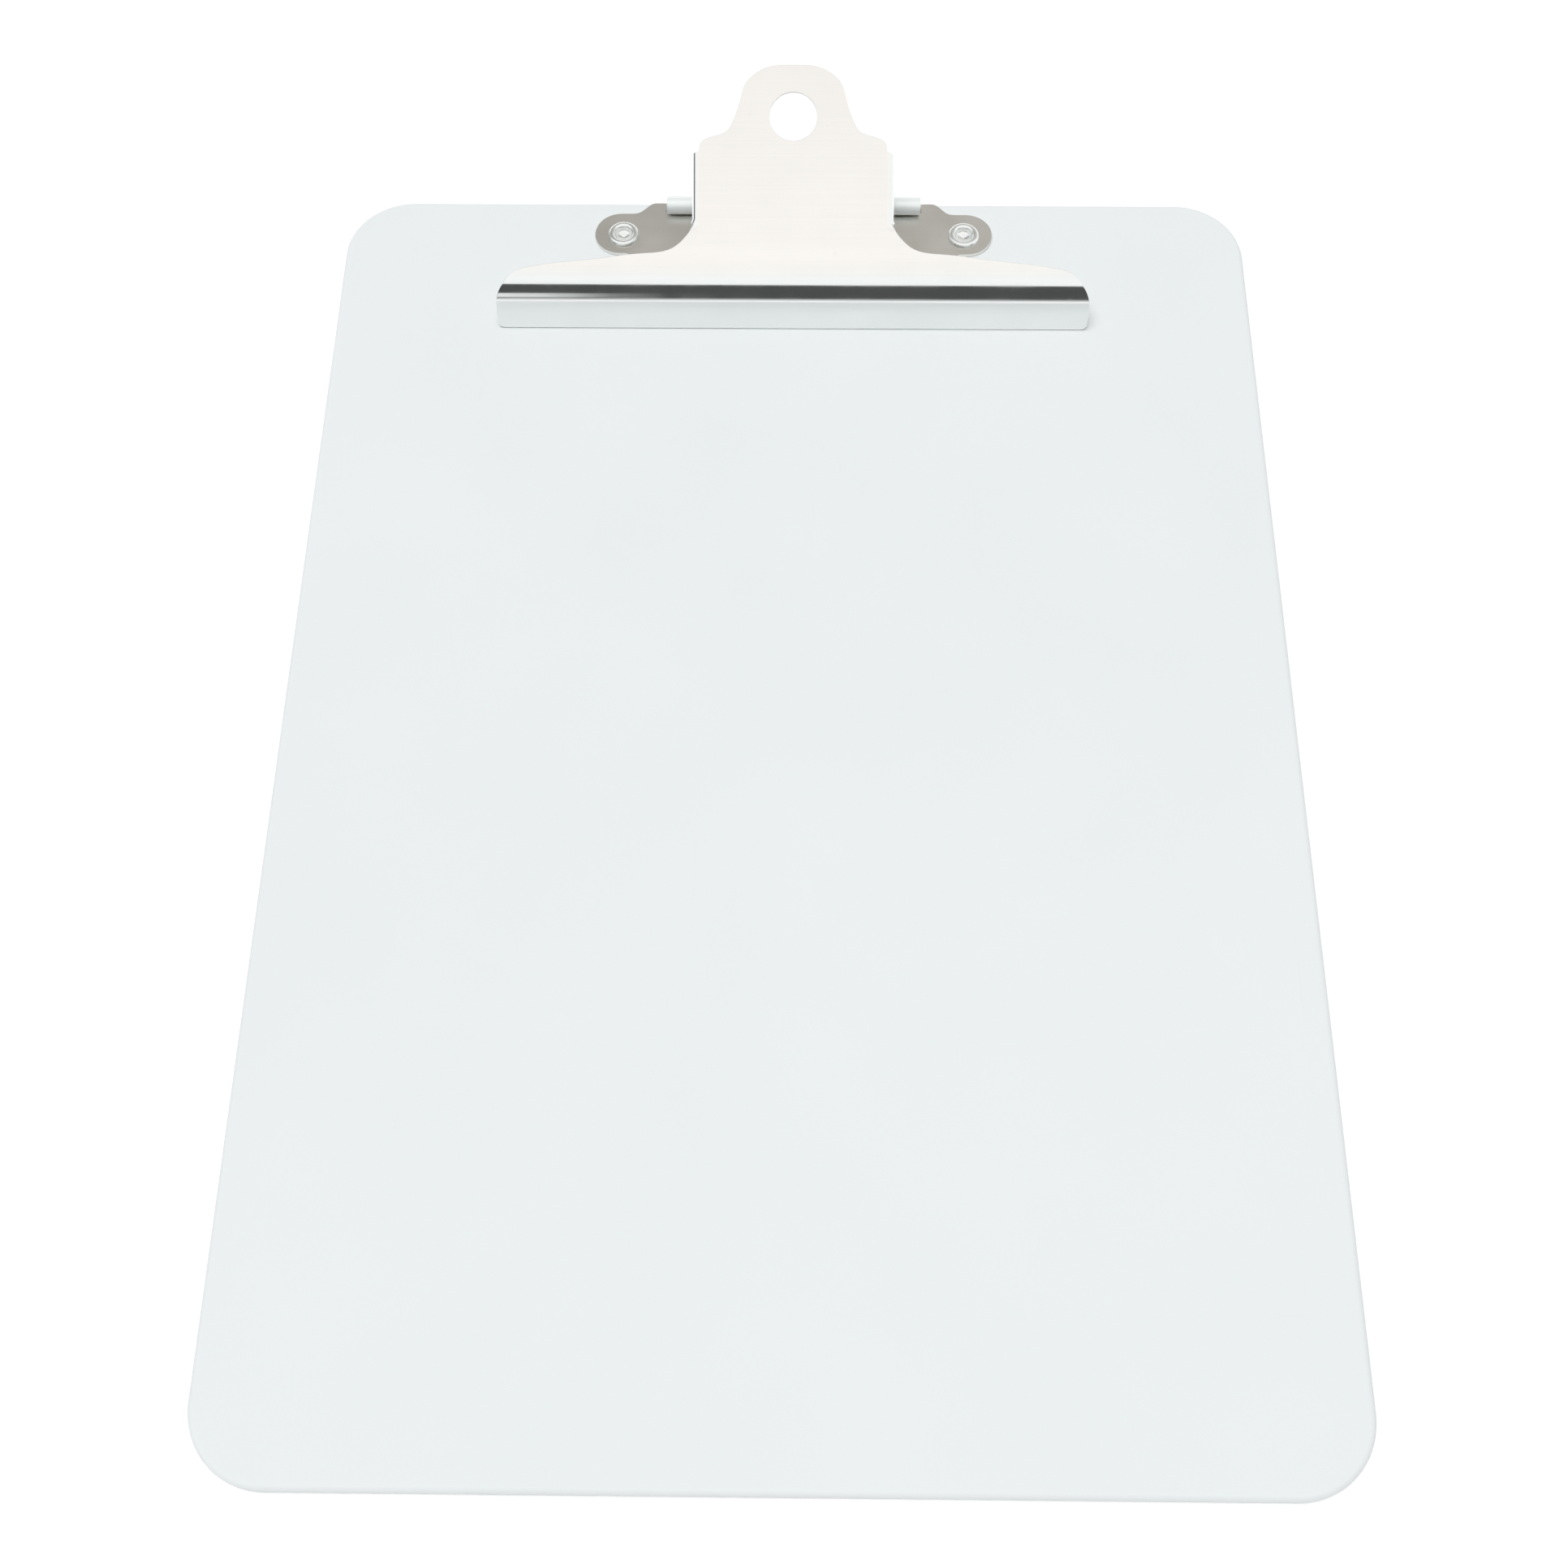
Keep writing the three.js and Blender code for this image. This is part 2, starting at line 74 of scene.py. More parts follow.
# --------------------------------------------------------------- mesh helpers
def make_object(name, verts, faces, normals=None, material=None, smooth=True):
    me = bpy.data.meshes.new(name)
    v = np.asarray(verts, float) * MM
    me.from_pydata(v.tolist(), [], [list(map(int, f)) for f in faces])
    me.validate()
    me.update()
    for p in me.polygons:
        p.use_smooth = smooth
    if normals is not None:
        n = np.asarray(normals, float)
        n = n / np.maximum(np.linalg.norm(n, axis=1, keepdims=True), 1e-12)
        me.normals_split_custom_set_from_vertices(n.tolist())
    ob = bpy.data.objects.new(name, me)
    bpy.context.scene.collection.objects.link(ob)
    if material is not None:
        me.materials.append(material)
    bm = bmesh.new()
    bm.from_mesh(me)
    open_edges = sum(1 for e in bm.edges if len(e.link_faces) != 2)
    vol = bm.calc_volume(signed=True)
    bm.free()
    print("piece", name, "verts", len(me.vertices), "open edges", open_edges, "volume mm3 %.1f" % (vol * 1e9))
    return ob


def weld(verts, normals, faces, tol=2e-4):
    """Joins vertices at the same place, the first one's normal kept."""
    key, remap, nv, nn = {}, [], [], []
    for p, n in zip(verts, normals):
        k = tuple(int(round(c / tol)) for c in p)
        hit = None
        for dx in (0, -1, 1):
            for dy in (0, -1, 1):
                for dz in (0, -1, 1):
                    hit = key.get((k[0] + dx, k[1] + dy, k[2] + dz))
                    if hit is not None:
                        break
                if hit is not None:
                    break
            if hit is not None:
                break
        if hit is None:
            hit = len(nv)
            key[k] = hit
            nv.append(p)
            nn.append(n)
        remap.append(hit)
    out = []
    for f in faces:
        g = []
        for i in f:
            j = remap[i]
            if not g or g[-1] != j:
                g.append(j)
        if len(g) > 1 and g[0] == g[-1]:
            g.pop()
        if len(set(g)) >= 3:
            out.append(g)
    return nv, nn, out


def arc(cx, cy, r, a0, a1, n):
    return [(cx + r * math.cos(rad(a0 + (a1 - a0) * i / n)), cy + r * math.sin(rad(a0 + (a1 - a0) * i / n))) for i in range(n + 1)]


def circle(cx, cy, r, n, cw=False):
    pts = [(cx + r * math.cos(2 * math.pi * i / n), cy + r * math.sin(2 * math.pi * i / n)) for i in range(n)]
    return pts[::-1] if cw else pts


def mirrored(points):
    return [(-x, y) for x, y in points][::-1]


def smooth_path(points, step=0.5):
    """Catmull-Rom curve through the points, open."""
    p = [np.array(q, float) for q in points]
    p = [2 * p[0] - p[1]] + p + [2 * p[-1] - p[-2]]
    out = []
    for i in range(1, len(p) - 2):
        a, b, c, d = p[i - 1:i + 3]
        t0 = 0.0
        t1 = t0 + max(np.linalg.norm(b - a), 1e-6) ** 0.5
        t2 = t1 + max(np.linalg.norm(c - b), 1e-6) ** 0.5
        t3 = t2 + max(np.linalg.norm(d - c), 1e-6) ** 0.5
        n = max(1, int(math.ceil(np.linalg.norm(c - b) / step)))
        for k in range(n):
            t = t1 + (t2 - t1) * k / n
            a1 = (t1 - t) / (t1 - t0) * a + (t - t0) / (t1 - t0) * b
            a2 = (t2 - t) / (t2 - t1) * b + (t - t1) / (t2 - t1) * c
            a3 = (t3 - t) / (t3 - t2) * c + (t - t2) / (t3 - t2) * d
            b1 = (t2 - t) / (t2 - t0) * a1 + (t - t0) / (t2 - t0) * a2
            b2 = (t3 - t) / (t3 - t1) * a2 + (t - t1) / (t3 - t1) * a3
            out.append(tuple((t2 - t) / (t2 - t1) * b1 + (t - t1) / (t2 - t1) * b2))
    out.append(tuple(p[-2]))
    return out


def fillet(points, radii, n=6):
    """Closed polygon with each corner rounded by its radius."""
    out = []
    m = len(points)
    for i in range(m):
        r = radii[i]
        p = np.array(points[i], float)
        if r <= 0:
            out.append(tuple(p))
            continue
        a = np.array(points[i - 1], float) - p
        b = np.array(points[(i + 1) % m], float) - p
        a, b = a / np.linalg.norm(a), b / np.linalg.norm(b)
        half = math.acos(max(-1, min(1, float(a @ b)))) / 2
        d = r / math.tan(half)
        c = p + (a + b) / np.linalg.norm(a + b) * r / math.sin(half)
        s, e = p + a * d - c, p + b * d - c
        a0, a1 = math.atan2(s[1], s[0]), math.atan2(e[1], e[0])
        while a1 - a0 > math.pi:
            a1 -= 2 * math.pi
        while a1 - a0 < -math.pi:
            a1 += 2 * math.pi
        for k in range(n + 1):
            t = a0 + (a1 - a0) * k / n
            out.append((c[0] + r * math.cos(t), c[1] + r * math.sin(t)))
    return out


def inset_loop(pts, e):
    """Each point of a closed loop moved inwards (to the left of its travel) by e, with its outward direction."""
    m = len(pts)
    P = np.array(pts, float)
    inner, outward = [], []
    for i in range(m):
        a, b = P[i] - P[i - 1], P[(i + 1) % m] - P[i]
        a, b = a / np.linalg.norm(a), b / np.linalg.norm(b)
        na, nb = np.array([a[1], -a[0]]), np.array([b[1], -b[0]])
        n = na + nb
        n = n / max(np.linalg.norm(n), 1e-9)
        k = 1 / max(0.45, float(n @ na))
        inner.append(P[i] - n * e * k)
        outward.append(n)
    return inner, outward


def split_loop(outer, inner, outward, xcuts, ycuts, longest):
    """Adds points to a loop where its inner copy crosses a cut line, and along long edges."""
    o2, i2, n2 = [], [], []
    m = len(outer)
    for i in range(m):
        j = (i + 1) % m
        a, b = np.array(inner[i]), np.array(inner[j])
        ts = {0.0}
        for axis, cuts in ((0, xcuts), (1, ycuts)):
            d = b[axis] - a[axis]
            if abs(d) > 1e-9:
                for c in cuts:
                    t = (c - a[axis]) / d
                    if 1e-4 < t < 1 - 1e-4:
                        ts.add(float(t))
        n = int(np.linalg.norm(b - a) / longest)
        for k in range(1, n + 1):
            t = k / (n + 1)
            if min(abs(t - q) for q in ts) > 1e-3:
                ts.add(t)
        for t in sorted(ts):
            o2.append(np.array(outer[i]) * (1 - t) + np.array(outer[j]) * t)
            i2.append(a * (1 - t) + b * t)
            n = np.array(outward[i]) * (1 - t) + np.array(outward[j]) * t
            n2.append(n / max(np.linalg.norm(n), 1e-9))
    return o2, i2, n2


def inside(points, loop):
    """Which points lie in a closed loop."""
    P, L = np.asarray(points, float), np.asarray(loop, float)
    hit = np.zeros(len(P), bool)
    for a, b in zip(L, np.roll(L, -1, axis=0)):
        cross = (a[1] > P[:, 1]) != (b[1] > P[:, 1])
        if cross.any():
            x = (b[0] - a[0]) * (P[:, 1] - a[1]) / (b[1] - a[1] + 1e-30) + a[0]
            hit ^= cross & (P[:, 0] < x)
    return hit


def fill_loops(loops, xcuts, ycuts):
    """Flat fill of an outline with holes, cut along lines x = c and y = c. Returns points and faces, facing up."""
    flat, edges = [], []
    for l in loops:
        base = len(flat)
        flat += [Vector((float(p[0]), float(p[1]))) for p in l]
        edges += [(base + i, base + (i + 1) % len(l)) for i in range(len(l))]
    pts, _, tris, _, _, _ = delaunay_2d_cdt(flat, edges, [], 0, 1e-7)
    P = np.array([(p.x, p.y) for p in pts])
    T = np.array([list(t) for t in tris])
    mid = P[T].mean(axis=1)
    keep = inside(mid, loops[0])
    for l in loops[1:]:
        keep &= ~inside(mid, l)
    bm = bmesh.new()
    bv = [bm.verts.new((p[0], p[1], 0.0)) for p in P]
    for t in T[keep]:
        a, b, c = P[t]
        area = (b[0] - a[0]) * (c[1] - a[1]) - (b[1] - a[1]) * (c[0] - a[0])
        bm.faces.new([bv[i] for i in (t if area > 0 else t[::-1])])
    for v in [v for v in bm.verts if not v.link_faces]:
        bm.verts.remove(v)
    for axis, cuts in ((0, xcuts), (1, ycuts)):
        for c in cuts:
            co, no = [0, 0, 0], [0, 0, 0]
            co[axis], no[axis] = c, 1
            bmesh.ops.bisect_plane(bm, geom=bm.verts[:] + bm.edges[:] + bm.faces[:], dist=2e-4, plane_co=co, plane_no=no)
    bmesh.ops.triangulate(bm, faces=[f for f in bm.faces if len(f.verts) > 4])
    bm.verts.index_update()
    pts = [(v.co.x, v.co.y) for v in bm.verts]
    faces = []
    for f in bm.faces:
        idx = [v.index for v in f.verts]
        f.normal_update()
        faces.append(idx if f.normal.z > 0 else idx[::-1])
    bm.free()
    return pts, faces


def sheet_part(name, outer, holes, xcuts, ycuts, thick, edge, place, material, segments=3, longest=2.5, hole_edge=None):
    """A bent sheet: flat outline, rounded rims, and a placing function (x, y, depth) -> point and its local axes."""
    loops = []
    for k, l in enumerate([outer] + holes):
        e = edge if k == 0 or hole_edge is None else hole_edge
        inner, outward = inset_loop(l, e)
        loops.append((*split_loop(l, inner, outward, xcuts, ycuts, longest), e))
    verts, normals, faces = [], [], []
    pts, fs = fill_loops([l[1] for l in loops], xcuts, ycuts)
    for depth, up in ((0.0, 1.0), (thick, -1.0)):
        base = len(verts)
        verts += [(p[0], p[1], -depth) for p in pts]
        normals += [(0, 0, up)] * len(pts)
        faces += [[base + i for i in (f if up > 0 else f[::-1])] for f in fs]
    for o, i, n, e in loops:
        rings = []
        for k in range(segments + 1):
            a = math.pi / 2 * k / segments
            rings.append((math.sin(a), e * (1 - math.cos(a)), math.cos(a)))
        rings += [(s, thick - d, -u) for s, d, u in rings[::-1]]
        base, m = len(verts), len(o)
        for s, d, u in rings:
            h = math.sqrt(max(0.0, 1 - u * u))
            for q in range(m):
                p = i[q] * (1 - s) + o[q] * s
                verts.append((p[0], p[1], -d))
                normals.append((n[q][0] * h, n[q][1] * h, u))
        for r in range(len(rings) - 1):
            for q in range(m):
                q2 = (q + 1) % m
                faces.append([base + r * m + q, base + (r + 1) * m + q, base + (r + 1) * m + q2, base + r * m + q2])
    verts, normals, faces = weld(verts, normals, faces)
    out_v, out_n = [], []
    for (x, y, z), n in zip(verts, normals):
        p, ax, ay, an = place(x, y, -z)
        out_v.append(p)
        out_n.append(ax * n[0] + ay * n[1] + an * n[2])
    return make_object(name, out_v, faces, out_n, material)


def lathe_part(name, section, centre, material, sides=96, axis="z"):
    """A closed [radius, height] section turned about an axis through centre. Section runs anticlockwise in (r, z)."""
    m = len(section)
    S = np.array(section, float)
    closed = not (abs(S[0][0]) < 1e-9 and abs(S[-1][0]) < 1e-9)
    nrm = []
    for i in range(m):
        a = S[i] - S[i - 1] if (closed or i > 0) else S[1] - S[0]
        b = S[(i + 1) % m] - S[i] if (closed or i < m - 1) else S[i] - S[i - 1]
        a, b = a / np.linalg.norm(a), b / np.linalg.norm(b)
        n = np.array([a[1] + b[1], -a[0] - b[0]])
        nrm.append(n / max(np.linalg.norm(n), 1e-9))
    verts, normals, faces, rows = [], [], [], []
    for i in range(m):
        if S[i][0] < 1e-9:
            rows.append([len(verts)] * sides)
            verts.append((0, 0, S[i][1]))
            normals.append((0, 0, 1 if (i == m - 1) else -1))
            continue
        rows.append(list(range(len(verts), len(verts) + sides)))
        for k in range(sides):
            t = 2 * math.pi * k / sides
            verts.append((S[i][0] * math.cos(t), S[i][0] * math.sin(t), S[i][1]))
            normals.append((nrm[i][0] * math.cos(t), nrm[i][0] * math.sin(t), nrm[i][1]))
    for i in range(m if closed else m - 1):
        j = (i + 1) % m
        for k in range(sides):
            k2 = (k + 1) % sides
            f = [rows[i][k], rows[i][k2], rows[j][k2], rows[j][k]]
            g = []
            for q in f:
                if q not in g:
                    g.append(q)
            if len(g) >= 3:
                faces.append(g)
    V, N = np.array(verts), np.array(normals)
    if axis == "x":
        R = np.array([[0, 0, 1], [1, 0, 0], [0, 1, 0]], float)
        V, N = V @ R.T, N @ R.T
    return make_object(name, V + np.array(centre, float), faces, N, material)


def tube_part(name, path, r, material, sides=16, cap=4):
    """A round wire along a path, with rounded ends."""
    P = np.array(path, float)
    T = np.gradient(P, axis=0)
    T /= np.linalg.norm(T, axis=1, keepdims=True)
    u = np.cross(T[0], [1.0, 0, 0])
    if np.linalg.norm(u) < 1e-3:
        u = np.cross(T[0], [0, 1.0, 0])
    u /= np.linalg.norm(u)
    rings = []
    frames = []
    for i in range(len(P)):
        u = u - T[i] * (u @ T[i])
        u /= np.linalg.norm(u)
        frames.append((P[i], T[i], u.copy(), np.cross(T[i], u)))
    e = 0.18
    for i, (p, t, a, b) in enumerate(frames):
        if i == 0:
            for k in range(cap):
                w = math.pi / 2 * k / cap
                rings.append((p - t * e * math.cos(w), r - e + e * math.sin(w), t, a, b, -math.cos(w), math.sin(w)))
        rings.append((p, r, t, a, b, 0.0, 1.0))
        if i == len(frames) - 1:
            for k in range(cap - 1, -1, -1):
                w = math.pi / 2 * k / cap
                rings.append((p + t * e * math.cos(w), r - e + e * math.sin(w), t, a, b, math.cos(w), math.sin(w)))
    verts, normals, faces = [], [], []
    for p, rr, t, a, b, along, out in rings:
        for k in range(sides):
            w = 2 * math.pi * k / sides
            d = a * math.cos(w) + b * math.sin(w)
            verts.append(p + d * rr)
            normals.append(d * out + t * along)
    n = len(rings)
    for i in range(n - 1):
        for k in range(sides):
            k2 = (k + 1) % sides
            faces.append([i * sides + k, i * sides + k2, (i + 1) * sides + k2, (i + 1) * sides + k])
    for i, flip in ((0, True), (n - 1, False)):
        c = len(verts)
        verts.append(np.mean([verts[i * sides + k] for k in range(sides)], axis=0))
        normals.append(rings[i][2] * (-1 if flip else 1))
        for k in range(sides):
            k2 = (k + 1) % sides
            f = [i * sides + k, i * sides + k2, c]
            faces.append(f[::-1] if flip else f)
    return make_object(name, verts, faces, normals, material)


# ------------------------------------------------------------------ materials
class Tree:
    def __init__(self, tree):
        self.t = tree

    def node(self, kind, **inputs):
        n = self.t.nodes.new(kind)
        for k, v in inputs.items():
            if hasattr(n, k):
                setattr(n, k, v)
        return n

    def link(self, a, b):
        self.t.links.new(a, b)

    def put(self, socket, value):
        if isinstance(value, bpy.types.NodeSocket):
            self.link(value, socket)
        else:
            socket.default_value = value

    def math(self, op, a, b=0.0, c=0.0, clamp=False):
        n = self.node("ShaderNodeMath", operation=op, use_clamp=clamp)
        self.put(n.inputs[0], a)
        self.put(n.inputs[1], b)
        self.put(n.inputs[2], c)
        return n.outputs[0]

    def step(self, value, lo, hi, to0=0.0, to1=1.0):
        n = self.node("ShaderNodeMapRange", interpolation_type="SMOOTHSTEP", clamp=True)
        self.put(n.inputs["Value"], value)
        self.put(n.inputs["From Min"], lo)
        self.put(n.inputs["From Max"], hi)
        self.put(n.inputs["To Min"], to0)
        self.put(n.inputs["To Max"], to1)
        return n.outputs[0]

    def ramp(self, value, lo, hi, to0, to1):
        n = self.node("ShaderNodeMapRange", interpolation_type="LINEAR", clamp=True)
        self.put(n.inputs["Value"], value)
        self.put(n.inputs["From Min"], lo)
        self.put(n.inputs["From Max"], hi)
        self.put(n.inputs["To Min"], to0)
        self.put(n.inputs["To Max"], to1)
        return n.outputs[0]

    def mix(self, fac, a, b):
        n = self.node("ShaderNodeMix", data_type="RGBA")
        self.put(n.inputs[0], fac)
        self.put(n.inputs[6], a)
        self.put(n.inputs[7], b)
        return n.outputs[2]

    def coords(self, scale=(1, 1, 1), rotation=(0, 0, 0)):
        tc = self.node("ShaderNodeTexCoord")
        mp = self.node("ShaderNodeMapping")
        mp.inputs["Scale"].default_value = scale
        mp.inputs["Rotation"].default_value = rotation
        self.link(tc.outputs["Object"], mp.inputs["Vector"])
        return mp.outputs[0]

    def noise(self, vector, scale, detail=3.0, rough=0.5, distortion=0.0):
        n = self.node("ShaderNodeTexNoise")
        self.link(vector, n.inputs["Vector"])
        n.inputs["Scale"].default_value = scale
        n.inputs["Detail"].default_value = detail
        n.inputs["Roughness"].default_value = rough
        n.inputs["Distortion"].default_value = distortion
        return n.outputs["Fac"]

    def voronoi(self, vector, scale, feature="F1"):
        n = self.node("ShaderNodeTexVoronoi", feature=feature)
        self.link(vector, n.inputs["Vector"])
        n.inputs["Scale"].default_value = scale
        return n.outputs["Distance"]

    def bump(self, height, strength, distance, normal=None):
        n = self.node("ShaderNodeBump")
        n.inputs["Strength"].default_value = strength
        n.inputs["Distance"].default_value = distance
        self.link(height, n.inputs["Height"])
        if normal is not None:
            self.link(normal, n.inputs["Normal"])
        return n.outputs["Normal"]

    def edges(self, radius):
        """1 along the rims of a piece, 0 on its faces."""
        b = self.node("ShaderNodeBevel")
        b.samples = 4
        b.inputs["Radius"].default_value = radius
        g = self.node("ShaderNodeNewGeometry")
        d = self.node("ShaderNodeVectorMath", operation="DOT_PRODUCT")
        self.link(b.outputs["Normal"], d.inputs[0])
        self.link(g.outputs["Normal"], d.inputs[1])
        return self.step(d.outputs["Value"], 0.985, 0.86, 0.0, 1.0)


def new_material(name, color, metallic, roughness):
    m = bpy.data.materials.new(name)
    m.use_nodes = True
    m.diffuse_color = (*color[:3], 1)
    t = m.node_tree
    b = t.nodes["Principled BSDF"]
    b.inputs["Base Color"].default_value = (*color[:3], 1)
    b.inputs["Metallic"].default_value = metallic
    b.inputs["Roughness"].default_value = roughness
    return m, Tree(t), b


def board_material():
    m, t, b = new_material("board_plastic", (0.737, 0.765, 0.775), 0.0, 0.45)
    o = t.coords()
    mottle = t.noise(o, 26.0, 4.0, 0.55)
    cloud = t.noise(o, 7.0, 2.0, 0.5)
    speck = t.noise(o, 1700.0, 2.0, 0.6)
    tone = t.math("ADD", t.math("MULTIPLY", mottle, 0.55), t.math("MULTIPLY", cloud, 0.45))
    base = t.mix(t.ramp(tone, 0.32, 0.68, 0.0, 1.0), (0.728, 0.757, 0.766, 1), (0.747, 0.774, 0.783, 1))
    base = t.mix(t.math("MULTIPLY", t.step(speck, 0.60, 0.74), 0.35), base, (0.768, 0.790, 0.796, 1))
    # Faint scuffs from paper and pens, in two directions
    s1 = t.noise(t.coords((14, 900, 14), (0, 0, 0.35)), 1.0, 2.0, 0.5)
    s2 = t.noise(t.coords((700, 11, 11), (0, 0, -0.2)), 1.0, 2.0, 0.5)
    patch = t.step(t.noise(o, 11.0, 2.0, 0.5), 0.45, 0.7)
    scuff = t.math("MULTIPLY", t.math("MAXIMUM", t.step(s1, 0.68, 0.76), t.step(s2, 0.69, 0.77)), patch)
    base = t.mix(t.math("MULTIPLY", scuff, 0.25), base, (0.698, 0.730, 0.742, 1))
    rim = t.edges(0.0009)
    base = t.mix(t.math("MULTIPLY", rim, 0.18), base, (0.682, 0.722, 0.738, 1))
    t.link(base, b.inputs["Base Color"])
    r = t.ramp(mottle, 0.3, 0.7, 0.40, 0.48)
    r = t.math("ADD", r, t.math("MULTIPLY", scuff, -0.08))
    t.link(r, b.inputs["Roughness"])
    b.inputs["IOR"].default_value = 1.49
    b.inputs["Specular IOR Level"].default_value = 0.45
    grain = t.math("ADD", t.noise(o, 1500.0, 3.0, 0.6), t.math("MULTIPLY", t.voronoi(o, 1100.0), 0.5))
    n = t.bump(grain, 0.22, 0.00003)
    n = t.bump(t.math("MULTIPLY", scuff, -1.0), 0.15, 0.00002, n)
    t.link(n, b.inputs["Normal"])
    return m


def nickel_material(name, low, high, rough0, rough1, streak=1.0, wear=(0.93, 0.92, 0.90), grain=1.0, rolled=None):
    m, t, b = new_material(name, high, 1.0, (rough0 + rough1) / 2)
    o = t.coords()
    cloud = t.noise(o, 90.0, 3.0, 0.55)
    fine = t.noise(o, 900.0, 3.0, 0.6)
    # Rolling and polishing lines run across the piece
    lines = t.noise(t.coords((22, 2600, 2600)), 1.0, 3.0, 0.62)
    broad = t.noise(t.coords((16, 420, 420)), 1.0, 2.0, 0.5)
    tone = t.math("ADD", t.math("MULTIPLY", cloud, 0.6), t.math("MULTIPLY", lines, 0.4))
    base = t.mix(t.ramp(tone, 0.3, 0.7, 0.0, 1.0), (*low, 1), (*high, 1))
    pits = t.step(t.noise(o, 520.0, 2.0, 0.5), 0.70, 0.78)
    base = t.mix(t.math("MULTIPLY", pits, 0.16), base, tuple(c * 0.90 for c in low) + (1,))
    rim = t.edges(0.00028)
    base = t.mix(t.math("MULTIPLY", rim, t.ramp(fine, 0.3, 0.6, 0.35, 0.9)), base, (*wear, 1))
    t.link(base, b.inputs["Base Color"])
    r = t.ramp(cloud, 0.3, 0.7, rough0, rough1)
    r = t.math("ADD", r, t.math("MULTIPLY", pits, 0.04))
    r = t.math("ADD", r, t.math("MULTIPLY", rim, 0.08))
    if rolled is not None:
        # Above this height, where the sheet has been rolled, the colour is a painted reflection of the board: pale
        # bluish-grey and less metallic
        tc = t.node("ShaderNodeTexCoord")
        xyz = t.node("ShaderNodeSeparateXYZ")
        t.link(tc.outputs["Object"], xyz.inputs[0])
        up = t.step(xyz.outputs[2], rolled, rolled + 0.0005)
        r = t.math("ADD", r, t.math("MULTIPLY", up, 0.08))
        board_reflection_tint = t.mix(t.ramp(cloud, 0.3, 0.7, 0.0, 1.0), (0.80, 0.85, 0.85, 1), (0.86, 0.90, 0.90, 1))
        t.link(t.mix(t.math("MULTIPLY", up, 0.9), base, board_reflection_tint), b.inputs["Base Color"])
        t.link(t.math("SUBTRACT", 1.0, t.math("MULTIPLY", up, 0.72)), b.inputs["Metallic"])
    t.link(r, b.inputs["Roughness"])
    n = t.bump(t.math("ADD", t.math("MULTIPLY", lines, 0.5), t.math("MULTIPLY", broad, 1.6)), 0.10 * streak, 0.00003)
    n = t.bump(t.math("ADD", t.noise(o, 260.0, 3.0, 0.6), t.math("MULTIPLY", fine, 0.25)), 0.05 * grain, 0.00003, n)
    t.link(n, b.inputs["Normal"])
    return m


MAT_BOARD = board_material()
MAT_LEVER = nickel_material("lever_nickel", (0.870, 0.883, 0.878), (0.910, 0.920, 0.914), 0.07, 0.13, wear=(0.93, 0.93, 0.925))
# rolled=0.0042: above 4.2 mm the knuckles get a painted reflection of the board as their colour
MAT_BASE = nickel_material("base_steel", (0.80, 0.79, 0.755), (0.85, 0.84, 0.805), 0.27, 0.34, streak=0.8, wear=(0.9, 0.9, 0.88), rolled=0.0042)
MAT_PIN = nickel_material("pin_steel", (0.66, 0.65, 0.63), (0.74, 0.73, 0.71), 0.22, 0.34, streak=0.6, wear=(0.85, 0.85, 0.84))
MAT_SPRING = nickel_material("spring_steel", (0.50, 0.50, 0.49), (0.60, 0.60, 0.59), 0.22, 0.36, streak=0.5, wear=(0.8, 0.8, 0.79))
MAT_RIVET = nickel_material("rivet_nickel", (0.86, 0.875, 0.87), (0.92, 0.935, 0.93), 0.22, 0.30, streak=0.4, wear=(0.96, 0.96, 0.96))
MAT_WASHER = nickel_material("washer_steel", (0.70, 0.70, 0.69), (0.78, 0.78, 0.77), 0.24, 0.36, streak=0.7)


